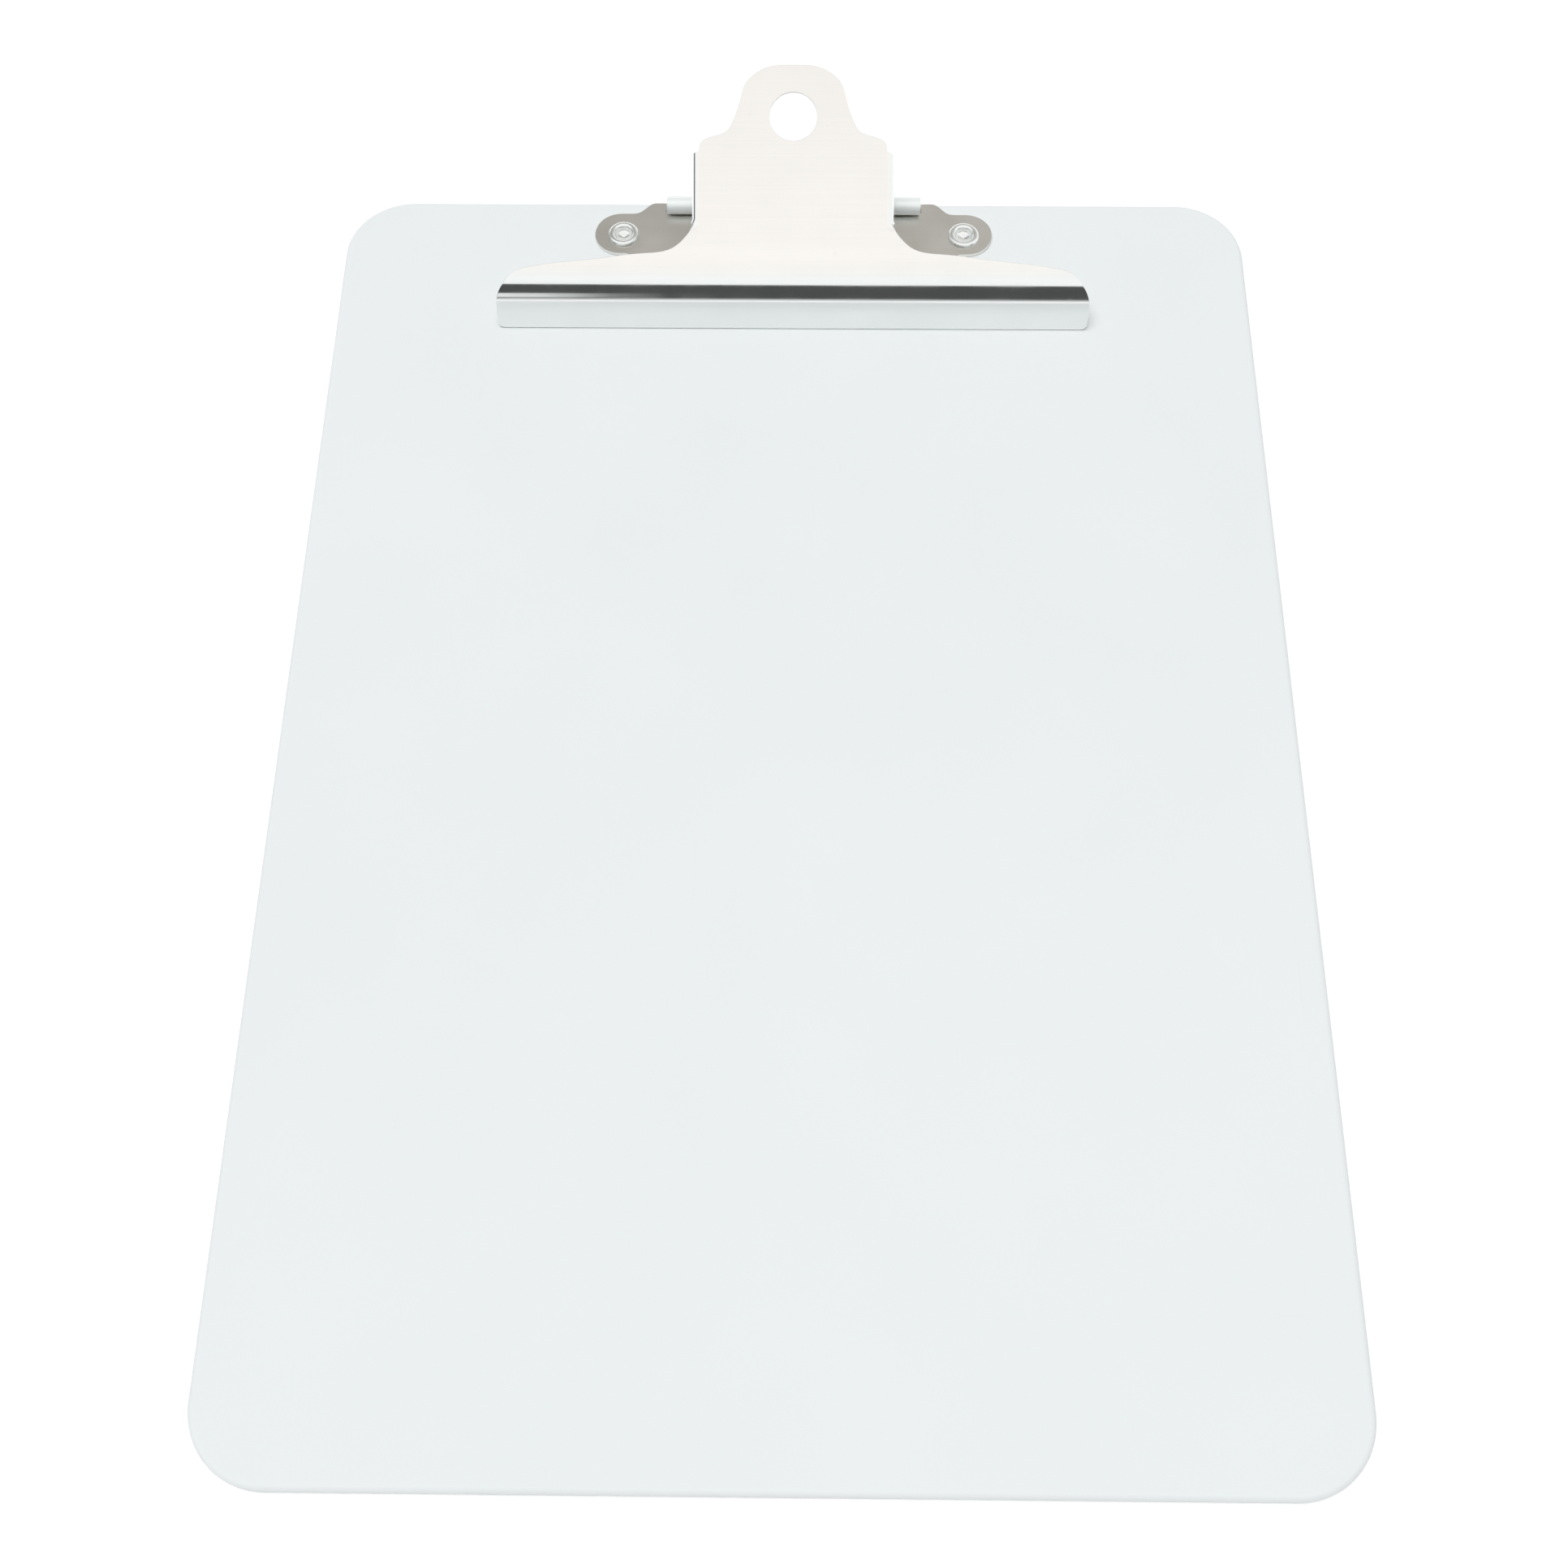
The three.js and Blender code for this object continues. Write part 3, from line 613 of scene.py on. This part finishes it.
# ---------------------------------------------------------------------- board
def build_board():
    w, l, r = BOARD_W / 2, BOARD_L / 2, BOARD_R
    n = 28
    outer = arc(w - r, -l + r, r, -90, 0, n) + arc(w - r, l - r, r, 0, 90, n) + arc(-w + r, l - r, r, 90, 180, n) + arc(-w + r, -l + r, r, 180, 270, n)
    verts, normals, faces = [], [], []

    def rings_of(loop, rings, closed_dir=1):
        base, m = len(verts), len(loop)
        inner, outward = inset_loop(loop, 1.0)
        outward = np.array(outward)
        L = np.array(loop, float)
        for off, z, u, h in rings:
            for q in range(m):
                p = L[q] + outward[q] * off
                verts.append((p[0], p[1], z))
                normals.append((outward[q][0] * h, outward[q][1] * h, u))
        for k in range(len(rings) - 1):
            for q in range(m):
                q2 = (q + 1) % m
                faces.append([base + k * m + q, base + (k + 1) * m + q, base + (k + 1) * m + q2, base + k * m + q2])
        return [(verts[base + q][0], verts[base + q][1]) for q in range(m)], [(verts[base + (len(rings) - 1) * m + q][0], verts[base + (len(rings) - 1) * m + q][1]) for q in range(m)]

    e, k = BOARD_E, 9
    rim = [(-e - 0.8, BOARD_T, 1.0, 0.0)]
    for i in range(k + 1):
        a = math.pi / 2 * i / k
        rim.append((-e * (1 - math.sin(a)), BOARD_T - e * (1 - math.cos(a)), math.cos(a), math.sin(a)))
    rim += [(o, BOARD_T - z, -u, h) for o, z, u, h in rim[::-1]]
    top, bottom = rings_of(outer, rim)
    tops, bottoms = [top], [bottom]
    for s in (1, -1):
        hole = circle(s * RIVET_X, RIVET_Y, 2.9, 64, cw=True)
        c = 0.12
        rings = [(-0.6, BOARD_T, 1.0, 0.0)]
        for i in range(4):
            a = math.pi / 2 * i / 3
            rings.append((-c * (1 - math.sin(a)), BOARD_T - c * (1 - math.cos(a)), math.cos(a), math.sin(a)))
        rings += [(0.0, 1.32, 0.0, 1.0), (-0.02, 1.3, -0.7, 0.7), (-0.06, 1.3, -1.0, 0.0), (-2.22, 1.3, -1.0, 0.0), (-2.3, 1.28, -0.7, 0.7), (-2.3, c, 0.0, 1.0)]
        for i in range(1, 4):
            a = math.pi / 2 * i / 3
            rings.append((-2.3 - c * (1 - math.cos(a)), c * (1 - math.sin(a)), -math.sin(a), math.cos(a)))
        rings.append((-3.0, 0.0, -1.0, 0.0))
        t, b = rings_of(hole, rings)
        tops.append(t)
        bottoms.append(b)
    for loops, z, up in ((tops, BOARD_T, True), (bottoms, 0.0, False)):
        pts, fs = fill_loops(loops, [], [])
        base = len(verts)
        verts.extend((p[0], p[1], z) for p in pts)
        normals.extend([(0, 0, 1.0 if up else -1.0)] * len(pts))
        faces.extend([[base + i for i in (f if up else f[::-1])] for f in fs])
    v, nn, f = weld(verts, normals, faces)
    return make_object("board_visual", v, f, nn, MAT_BOARD)


# ---------------------------------------------------------------------- lever
S_NOSE = LIP_LEN
S_BROW = LIP_LEN + NOSE_R * rad(NOSE_END - LIP_LEAN)
S_PLATE = S_BROW + BROW_LEN


def elevation(s):
    if s <= S_NOSE:
        return rad(LIP_LEAN)
    if s <= S_BROW:
        return rad(LIP_LEAN) + (s - S_NOSE) / NOSE_R
    if s <= S_PLATE:
        return rad(NOSE_END + (PLATE_NORMAL - NOSE_END) * (s - S_BROW) / BROW_LEN)
    return rad(PLATE_NORMAL)


_step = 0.01
_tab = [(LIP_Y, BOARD_T + LIP_GAP)]
for _i in range(9000):
    _a = elevation((_i + 0.5) * _step)
    _tab.append((_tab[-1][0] + _step * math.sin(_a), _tab[-1][1] + _step * math.cos(_a)))


def on_sheet(s):
    a = elevation(s)
    if s < 0:
        return LIP_Y + s * math.sin(a), BOARD_T + LIP_GAP + s * math.cos(a), a
    k = min(s / _step, len(_tab) - 2)
    i = int(k)
    f = k - i
    return _tab[i][0] * (1 - f) + _tab[i + 1][0] * f, _tab[i][1] * (1 - f) + _tab[i + 1][1] * f, a


# Where the pin lies below the sheet: along it and square to it
_py, _pz, _pa = on_sheet(30.0)
EYE_S = 30.0 + (PIN_Y - _py) * math.sin(_pa) + (PIN_Z - _pz) * math.cos(_pa)
EYE_D = (PIN_Y - _py) * math.cos(_pa) - (PIN_Z - _pz) * math.sin(_pa)
FADE0, FADE1 = 25.3, 28.3


def lever_point(x, s, depth):
    y, z, a = on_sheet(s)
    o = np.array([0.0, y, z])
    n = np.array([0.0, -math.cos(a), math.sin(a)])
    if abs(x) <= FL_X or s <= FADE0 or s > 45.0:
        return o + np.array([x, 0.0, 0.0]) - depth * n
    t = min(1.0, (s - FADE0) / (FADE1 - FADE0))
    bend = max(1e-4, t * t * (3 - 2 * t)) * math.pi / 2
    g = 1.0 if x > 0 else -1.0
    u = abs(x) - FL_X
    r = FL_ARC / bend
    th = min(u, FL_ARC) / r
    rest = max(0.0, u - FL_ARC)
    X = FL_X + (r - depth) * math.sin(th) + rest * math.cos(th)
    D = r - (r - depth) * math.cos(th) + rest * math.sin(th)
    return o + np.array([g * X, 0.0, 0.0]) - D * n


def place_lever(x, s, depth):
    p = lever_point(x, s, depth)
    if abs(x) > FL_X - 1e-6 and FADE0 - 0.05 < s < 45.0:
        h = 1e-3
        g = 1.0 if x > 0 else -1.0
        ax = (lever_point(x + g * h, s, depth) - p) * g
        ay = lever_point(x, s + h, depth) - p
        ax, ay = ax / np.linalg.norm(ax), ay / np.linalg.norm(ay)
        an = np.cross(ax, ay)
        return p, ax, ay, an / np.linalg.norm(an)
    a = on_sheet(s)[2]
    n = np.array([0.0, -math.cos(a), math.sin(a)])
    return p, np.array([1.0, 0.0, 0.0]), np.array([0.0, math.sin(a), math.cos(a)]), n


def build_lever():
    side = [(72.9, 0.12), (73.3, 1.3), (73.32, 3.0), (73.28, 6.0), (73.1, 8.6), (72.4, 10.7), (71.45, 12.4), (70.15, 14.1), (68.7, 15.3),
            (66.6, 16.15), (63.0, 16.9), (58.0, 17.6), (52.8, 18.1), (47.6, 18.65), (43.6, 19.2), (39.7, 19.65), (36.6, 19.9), (33.8, 20.1), (31.4, 20.5),
            (29.4, 21.25), (27.9, 22.3), (26.7, 23.45), (25.75, 24.55), (25.15, 25.45), (24.85, 26.15), (24.78, 26.6)]
    lip = fillet([(0, -0.12), (73.2, -0.12), (73.32, 3.0), (0, 3.0)], [0, 1.5, 0, 0])
    lip = [p for p in lip if p[1] < 2.9 and p[0] > 1]
    flare = smooth_path([(73.32, 3.0)] + side[3:], 0.45)
    corner = [(24.8, 26.85), (24.9, 27.05), (25.08, 27.18), (25.35, 27.3)]

    def tangent(px, ps, sign):
        cx, cs = FL_X + FL_ARC + EYE_D - FL_R, EYE_S
        d = math.hypot(px - cx, ps - cs)
        base = math.atan2(ps - cs, px - cx)
        return math.degrees(base + sign * math.acos(EYE_R / d)), cx, cs

    a_front, cx, cs = tangent(25.35, 27.3, 1)
    a_rear, _, _ = tangent(FL_X, 44.4, -1)
    while a_front > 0:
        a_front -= 360
    a_rear = a_rear % 360
    eye = arc(cx, cs, EYE_R, a_front, a_rear, 40)
    shoulder = smooth_path([(22.95, 45.2), (22.85, 45.9), (22.35, 46.7), (21.4, 47.35), (19.8, 47.95), (17.9, 48.45), (16.6, 49.0), (15.75, 49.8), (15.2, 50.8),
                            (14.6, 52.0), (14.05, 53.4), (13.5, 55.0), (12.95, 56.8), (12.5, 58.5), (12.1, 59.8), (11.5, 60.9), (10.55, 61.95), (9.3, 62.95),
                            (7.9, 63.8), (6.3, 64.45), (4.6, 64.85), (2.6, 65.0), (0.9, 65.03)], 0.45)
    half = lip + flare + corner + eye + [(FL_X + 0.35, 44.3), (FL_X + 0.06, 44.5), (22.95, 44.9)] + shoulder
    outer = half + mirrored(half)
    holes = [circle(0, HANG_S, HANG_R, 96, cw=True), circle(cx, cs, EYE_BORE, 40, cw=True), circle(-cx, cs, EYE_BORE, 40, cw=True)]
    ycuts = [S_NOSE + (S_BROW - S_NOSE) * i / 43 for i in range(44)] + [S_BROW + BROW_LEN * i / 8 for i in range(1, 9)]
    ycuts += [FADE0 + (FADE1 - FADE0) * i / 12 for i in range(13)]
    xc = [FL_X + FL_ARC * i / 14 for i in range(15)]
    return sheet_part("clamp_lever_visual", outer, holes, xc + [-x for x in xc], ycuts, SHEET, 0.13, place_lever, MAT_LEVER, longest=2.0)


# ----------------------------------------------------------------- base plate
# One flat sheet. Two tongues at its rear edge roll up and forward round the pin.
ROLL_R = (KN_R + KN_BORE) / 2


def place_base(x, y, depth):
    across = np.array([1.0, 0.0, 0.0])
    if KN_IN - SLOT / 2 < abs(x) < KN_OUT + SLOT / 2 and y > PIN_Y:
        t = (y - PIN_Y) / ROLL_R
        r = KN_BORE + depth
        p = np.array([x, PIN_Y + r * math.sin(t), PIN_Z - r * math.cos(t)])
        return p, across, np.array([0.0, math.cos(t), math.sin(t)]), np.array([0.0, -math.sin(t), math.cos(t)])
    return np.array([x, y, BASE_Z + BASE_T - depth]), across, np.array([0.0, 1.0, 0.0]), np.array([0.0, 0.0, 1.0])


def build_base():
    lug_x, lug_y, lug_r = 44.2, 147.85, 6.6
    tip = PIN_Y + rad(ROLL_END + 90) * ROLL_R
    rear, notch, notch_r = 158.0, 152.4, 1.2
    # Right half, anticlockwise, from the front centre round to the rear centre
    half = arc(36.3, 136.0, 5.0, -90, 0, 14)
    half += [(41.3, 139.65)] + arc(42.9, 139.65, 1.6, 180, 90, 7)[1:]
    half += arc(lug_x, lug_y, lug_r, -90, 90, 48)
    half += smooth_path([(42.6, 154.45), (41.6, 154.46), (40.8, 154.5), (40.1, 154.66), (39.4, 155.0), (38.85, 155.48), (38.2, 156.15), (37.5, 156.88),
                         (36.95, 157.42), (36.4, 157.78), (35.8, 157.96), (35.1, rear), (34.0, rear)], 0.3)
    half += [(KN_OUT + SLOT + 0.35, rear), (KN_OUT + SLOT + 0.1, rear - 0.1), (KN_OUT + SLOT, rear - 0.35)]
    half += [(KN_OUT + SLOT, SLOT_Y + 0.12), (KN_OUT + SLOT - 0.06, SLOT_Y), (KN_OUT + 0.06, SLOT_Y), (KN_OUT, SLOT_Y + 0.12)]
    half += [(KN_OUT, tip - 0.35), (KN_OUT - 0.1, tip - 0.1), (KN_OUT - 0.35, tip), (KN_IN + 0.35, tip), (KN_IN + 0.1, tip - 0.1), (KN_IN, tip - 0.35)]
    half += arc(KN_IN - notch_r, notch + notch_r, notch_r, 0, -90, 8)
    outer = half + mirrored(half)
    holes = [circle(s * RIVET_X, RIVET_Y, 2.9, 48, cw=True) for s in (1, -1)]
    ys = [PIN_Y + (tip - PIN_Y) * i / 56 for i in range(56)]
    return sheet_part("base_plate_visual", outer, holes, [], ys, BASE_T, 0.11, place_base, MAT_BASE, longest=2.0)


# ------------------------------------------------------------- small hardware
def build_rivet(name, x):
    zt, zb = 3.9, 0.7
    # From the head on the back, up the shank, over the clinched rim and down into the well
    sec = [(0, 0.1), (1.2, 0.1), (2.4, 0.105), (3.2, 0.13), (3.65, 0.2), (3.92, 0.32), (4.06, 0.46), (4.1, 0.58), (4.08, 0.66), (4.0, zb)]
    sec += [(2.68, zb), (2.62, zb + 0.02), (2.6, zb + 0.08), (2.6, zt - 0.06), (2.62, zt - 0.02), (2.68, zt), (3.72, zt), (3.86, zt + 0.03)]
    sec += [(3.02 + 0.92 * math.cos(rad(a)), zt + 0.07 + 0.77 * math.sin(rad(a))) for a in range(3, 172, 7)]
    sec += [(2.07, zt + 0.12), (2.03, zt), (1.99, zt - 0.14), (1.94, zt - 0.27), (1.86, zt - 0.40), (1.75, zt - 0.51), (1.6, zt - 0.61), (1.4, zt - 0.71),
            (1.1, zt - 0.84), (0.8, zt - 0.96), (0.5, zt - 1.07), (0.25, zt - 1.14), (0.1, zt - 1.165), (0, zt - 1.17)]
    return lathe_part(name, sec, (x, RIVET_Y, 0), MAT_RIVET, 96)


def build_washer(name, x):
    r0, r1, z1 = 2.9, 4.8, 1.25
    z0, c = z1 - 0.5, 0.08
    sec = [(r0 + c, z0), (r1 - c, z0), (r1 - c * 0.3, z0 + c * 0.3), (r1, z0 + c), (r1, z1 - c), (r1 - c * 0.3, z1 - c * 0.3), (r1 - c, z1),
           (r0 + c, z1), (r0 + c * 0.3, z1 - c * 0.3), (r0, z1 - c), (r0, z0 + c), (r0 + c * 0.3, z0 + c * 0.3)]
    return lathe_part(name, sec, (x, RIVET_Y, 0), MAT_WASHER, 96)


def build_pin():
    h, r = PIN_HALF, PIN_R
    sec = [(0, -h), (0.4, -h + 0.01), (0.7, -h + 0.06), (0.9, -h + 0.16), (1.0, -h + 0.3), (r, -h + 0.48)]
    z = -h + 1.5
    while z < h - 1.0:
        sec.append((r, z))
        z += 4.0
    sec += [(q, -s) for q, s in sec[5::-1]]
    return lathe_part("pivot_pin_visual", sec, (0, PIN_Y, PIN_Z), MAT_PIN, 40, axis="x")


def build_spring():
    pts = []
    half = COIL_TURNS * COIL_PITCH / 2
    leg, dip = 25.0, 15.0
    low = BASE_LEG_Z - PIN_Z
    touch = (-COIL_R * math.sin(rad(dip)), -COIL_R * math.cos(rad(dip)))
    bend = touch[0] - (low - touch[1]) / math.tan(rad(dip))
    y = -16.0
    while y < bend - 0.7:
        pts.append((-half, y, low))
        y += 0.7
    for i in range(5):
        q, g = i / 4, 1 - i / 4
        e = 0.5
        pts.append((-half, g * g * (bend - e) + 2 * g * q * bend + q * q * (bend + e * math.cos(rad(dip))), low - q * q * e * math.sin(rad(dip))))
    total = COIL_TURNS * 360 + 90 + dip + leg
    steps = int(round(total / 10))
    for i in range(steps + 1):
        turned = total * i / steps
        a = rad(-90 - dip + turned)
        pts.append((-half + 2 * half * turned / total, COIL_R * math.cos(a), COIL_R * math.sin(a)))
    d = (-math.sin(rad(leg)), math.cos(rad(leg)))
    f = (COIL_R * math.cos(rad(leg)), COIL_R * math.sin(rad(leg)))
    sy, sz, a = on_sheet(40.0)
    py, pz = sy + (SHEET + WIRE_R + 0.3) * math.cos(a) - PIN_Y, sz - (SHEET + WIRE_R + 0.3) * math.sin(a) - PIN_Z
    u = (-math.sin(a), -math.cos(a))
    det = d[0] * -u[1] + d[1] * u[0]
    t = ((py - f[0]) * -u[1] + (pz - f[1]) * u[0]) / det
    hit = (f[0] + d[0] * t, f[1] + d[1] * t)
    k = 0.8
    while k < t - 1.7:
        pts.append((half, f[0] + d[0] * k, f[1] + d[1] * k))
        k += 0.8
    b0 = (hit[0] - d[0] * 1.5, hit[1] - d[1] * 1.5)
    b1 = (hit[0] + u[0] * 1.5, hit[1] + u[1] * 1.5)
    for i in range(9):
        q, g = i / 8, 1 - i / 8
        pts.append((half, g * g * b0[0] + 2 * g * q * hit[0] + q * q * b1[0], g * g * b0[1] + 2 * g * q * hit[1] + q * q * b1[1]))
    for k in (2.0, 2.7, 3.4, 4.1, 4.9):
        pts.append((half, hit[0] + u[0] * k, hit[1] + u[1] * k))
    path = [(x, PIN_Y + yy, PIN_Z + zz) for x, yy, zz in pts]
    return tube_part("torsion_spring_visual", path, WIRE_R, MAT_SPRING, 18)


board = build_board()
lever = build_lever()
base = build_base()
rivet_l = build_rivet("rivet_left_visual", -RIVET_X)
rivet_r = build_rivet("rivet_right_visual", RIVET_X)
washer_l = build_washer("rivet_washer_left_visual", -RIVET_X)
washer_r = build_washer("rivet_washer_right_visual", RIVET_X)
pin = build_pin()
spring = build_spring()

for ob, node, body, slot in (
    (board, "board", "base", "board_plastic"),
    (base, "base_plate", "base", "base_steel"),
    (lever, "clamp_lever", "lever", "lever_nickel"),
    (pin, "pivot_pin", "base", "pin_steel"),
    (rivet_l, "rivet_left", "base", "rivet_nickel"),
    (rivet_r, "rivet_right", "base", "rivet_nickel"),
    (washer_l, "rivet_washer_left", "base", "washer_steel"),
    (washer_r, "rivet_washer_right", "base", "washer_steel"),
):
    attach(ob, body)
    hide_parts(node)
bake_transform(spring)
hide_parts("torsion_spring")


# ---------------------------------------------------------------------- stage
def build_floor():
    me = bpy.data.meshes.new("floor")
    n, r = 64, 6.0
    v = [(0, 0, -0.0001)] + [(r * math.cos(2 * math.pi * i / n), r * math.sin(2 * math.pi * i / n), -0.0001) for i in range(n)]
    me.from_pydata(v, [], [(0, i + 1, (i + 1) % n + 1) for i in range(n)])
    ob = bpy.data.objects.new("floor", me)
    bpy.context.scene.collection.objects.link(ob)
    m, t, b = new_material("floor_pale", (0.96, 0.96, 0.96), 0.0, 0.9)
    b.inputs["Specular IOR Level"].default_value = 0.1
    me.materials.append(m)
    return ob


build_floor()

world = bpy.data.worlds.new("studio")
bpy.context.scene.world = world
world.use_nodes = True
wt = Tree(world.node_tree)
bg = world.node_tree.nodes["Background"]
tc = wt.node("ShaderNodeTexCoord")
sep = wt.node("ShaderNodeSeparateXYZ")
wt.link(tc.outputs["Generated"], sep.inputs[0])
dx, dy, dz = sep.outputs[0], sep.outputs[1], sep.outputs[2]
neg_y = wt.math("MULTIPLY", dy, -1.0)
neg_x = wt.math("MULTIPLY", dx, -1.0)
# A dark strip low in front, between the table and the pale ceiling
strip = wt.math("MULTIPLY", wt.step(dz, -0.005, 0.13), wt.step(dz, 0.578, 0.560))
strip = wt.math("MULTIPLY", strip, wt.step(neg_y, 0.30, 0.45))
gap = wt.math("MULTIPLY", wt.step(dz, 0.09, 0.15), wt.step(dz, 0.30, 0.23))
gap = wt.math("MULTIPLY", gap, wt.step(neg_x, 0.085, 0.135))
strip = wt.math("MULTIPLY", strip, wt.math("SUBTRACT", 1.0, wt.math("MULTIPLY", gap, 0.85)))
# A dim wall high behind, a little brighter to the right
rear = wt.math("MULTIPLY", wt.step(dz, 0.42, 0.56), wt.step(dz, 0.93, 0.86))
rear = wt.math("MULTIPLY", rear, wt.step(dy, 0.25, 0.40))
dim = wt.ramp(dx, -0.16, 0.16, 0.66, 0.52)
# A dim side on the left
left = wt.math("MULTIPLY", wt.step(neg_x, 0.60, 0.80), wt.step(dz, 0.46, 0.36))
level = wt.math("SUBTRACT", 1.0, wt.math("MULTIPLY", strip, 0.925))
level = wt.math("MULTIPLY", level, wt.math("SUBTRACT", 1.0, wt.math("MULTIPLY", rear, dim)))
level = wt.math("MULTIPLY", level, wt.math("SUBTRACT", 1.0, wt.math("MULTIPLY", left, 0.80)))
level = wt.math("MULTIPLY", level, wt.ramp(dz, 0.92, 0.975, 1.055, 0.975))
level = wt.math("MULTIPLY", level, wt.ramp(dz, 0.80, 0.90, 0.955, 1.0))
# The front of the ceiling is warmer than the rest, the wall behind slightly so
warm = wt.math("MULTIPLY", wt.step(dz, 0.76, 0.86), wt.step(neg_y, 0.02, 0.14))
tint = wt.mix(warm, (0.985, 1.0, 0.998, 1), (1.0, 0.962, 0.925, 1))
tint = wt.mix(rear, tint, (1.02, 0.99, 0.915, 1))
sky = wt.node("ShaderNodeVectorMath", operation="SCALE")
wt.link(tint, sky.inputs[0])
wt.link(level, sky.inputs["Scale"])
# The strip and the dim walls are small flags seen in the bright metal only; the soft light itself is even
lp = wt.node("ShaderNodeLightPath")
seen = wt.mix(lp.outputs["Is Glossy Ray"], (0.388, 0.392, 0.391, 1), sky.outputs[0])
seen = wt.mix(lp.outputs["Is Camera Ray"], seen, (0.97, 0.97, 0.97, 1))
wt.link(seen, bg.inputs["Color"])
bg.inputs["Strength"].default_value = 1.02

key = bpy.data.lights.new("key", "SUN")
key.angle = rad(42.0)
key.energy = 2.34
key_ob = bpy.data.objects.new("key", key)
bpy.context.scene.collection.objects.link(key_ob)
key_ob.location = (-0.20, -0.12, 1.8)
key_ob.rotation_euler = (Vector((0, 0.05, 0)) - key_ob.location).to_track_quat("-Z", "Y").to_euler()
key_ob.visible_glossy = False

# --------------------------------------------------------------------- camera
cam = bpy.data.cameras.new("camera")
cam.sensor_fit = "HORIZONTAL"
cam.sensor_width = 36.0
cam.lens = 2473.45 / 1932.0 * 36.0
cam.clip_start, cam.clip_end = 0.01, 50.0
cam_ob = bpy.data.objects.new("camera", cam)
bpy.context.scene.collection.objects.link(cam_ob)
right = Vector((0.9999216, 0.01084084, -0.00626724))
down = Vector((0.00692758, -0.89584223, -0.44431825))
fwd = Vector((-0.01043124, 0.44423999, -0.89584709))
M = Matrix((
    (right.x, -down.x, -fwd.x, 0.0039276),
    (right.y, -down.y, -fwd.y, -0.206788),
    (right.z, -down.z, -fwd.z, 0.401884),
    (0, 0, 0, 1),
))
cam_ob.matrix_world = M
bpy.context.scene.camera = cam_ob

sc = bpy.context.scene
sc.view_settings.view_transform = "Standard"
sc.view_settings.look = "None"
sc.view_settings.exposure = 0.0
sc.view_settings.gamma = 1.0
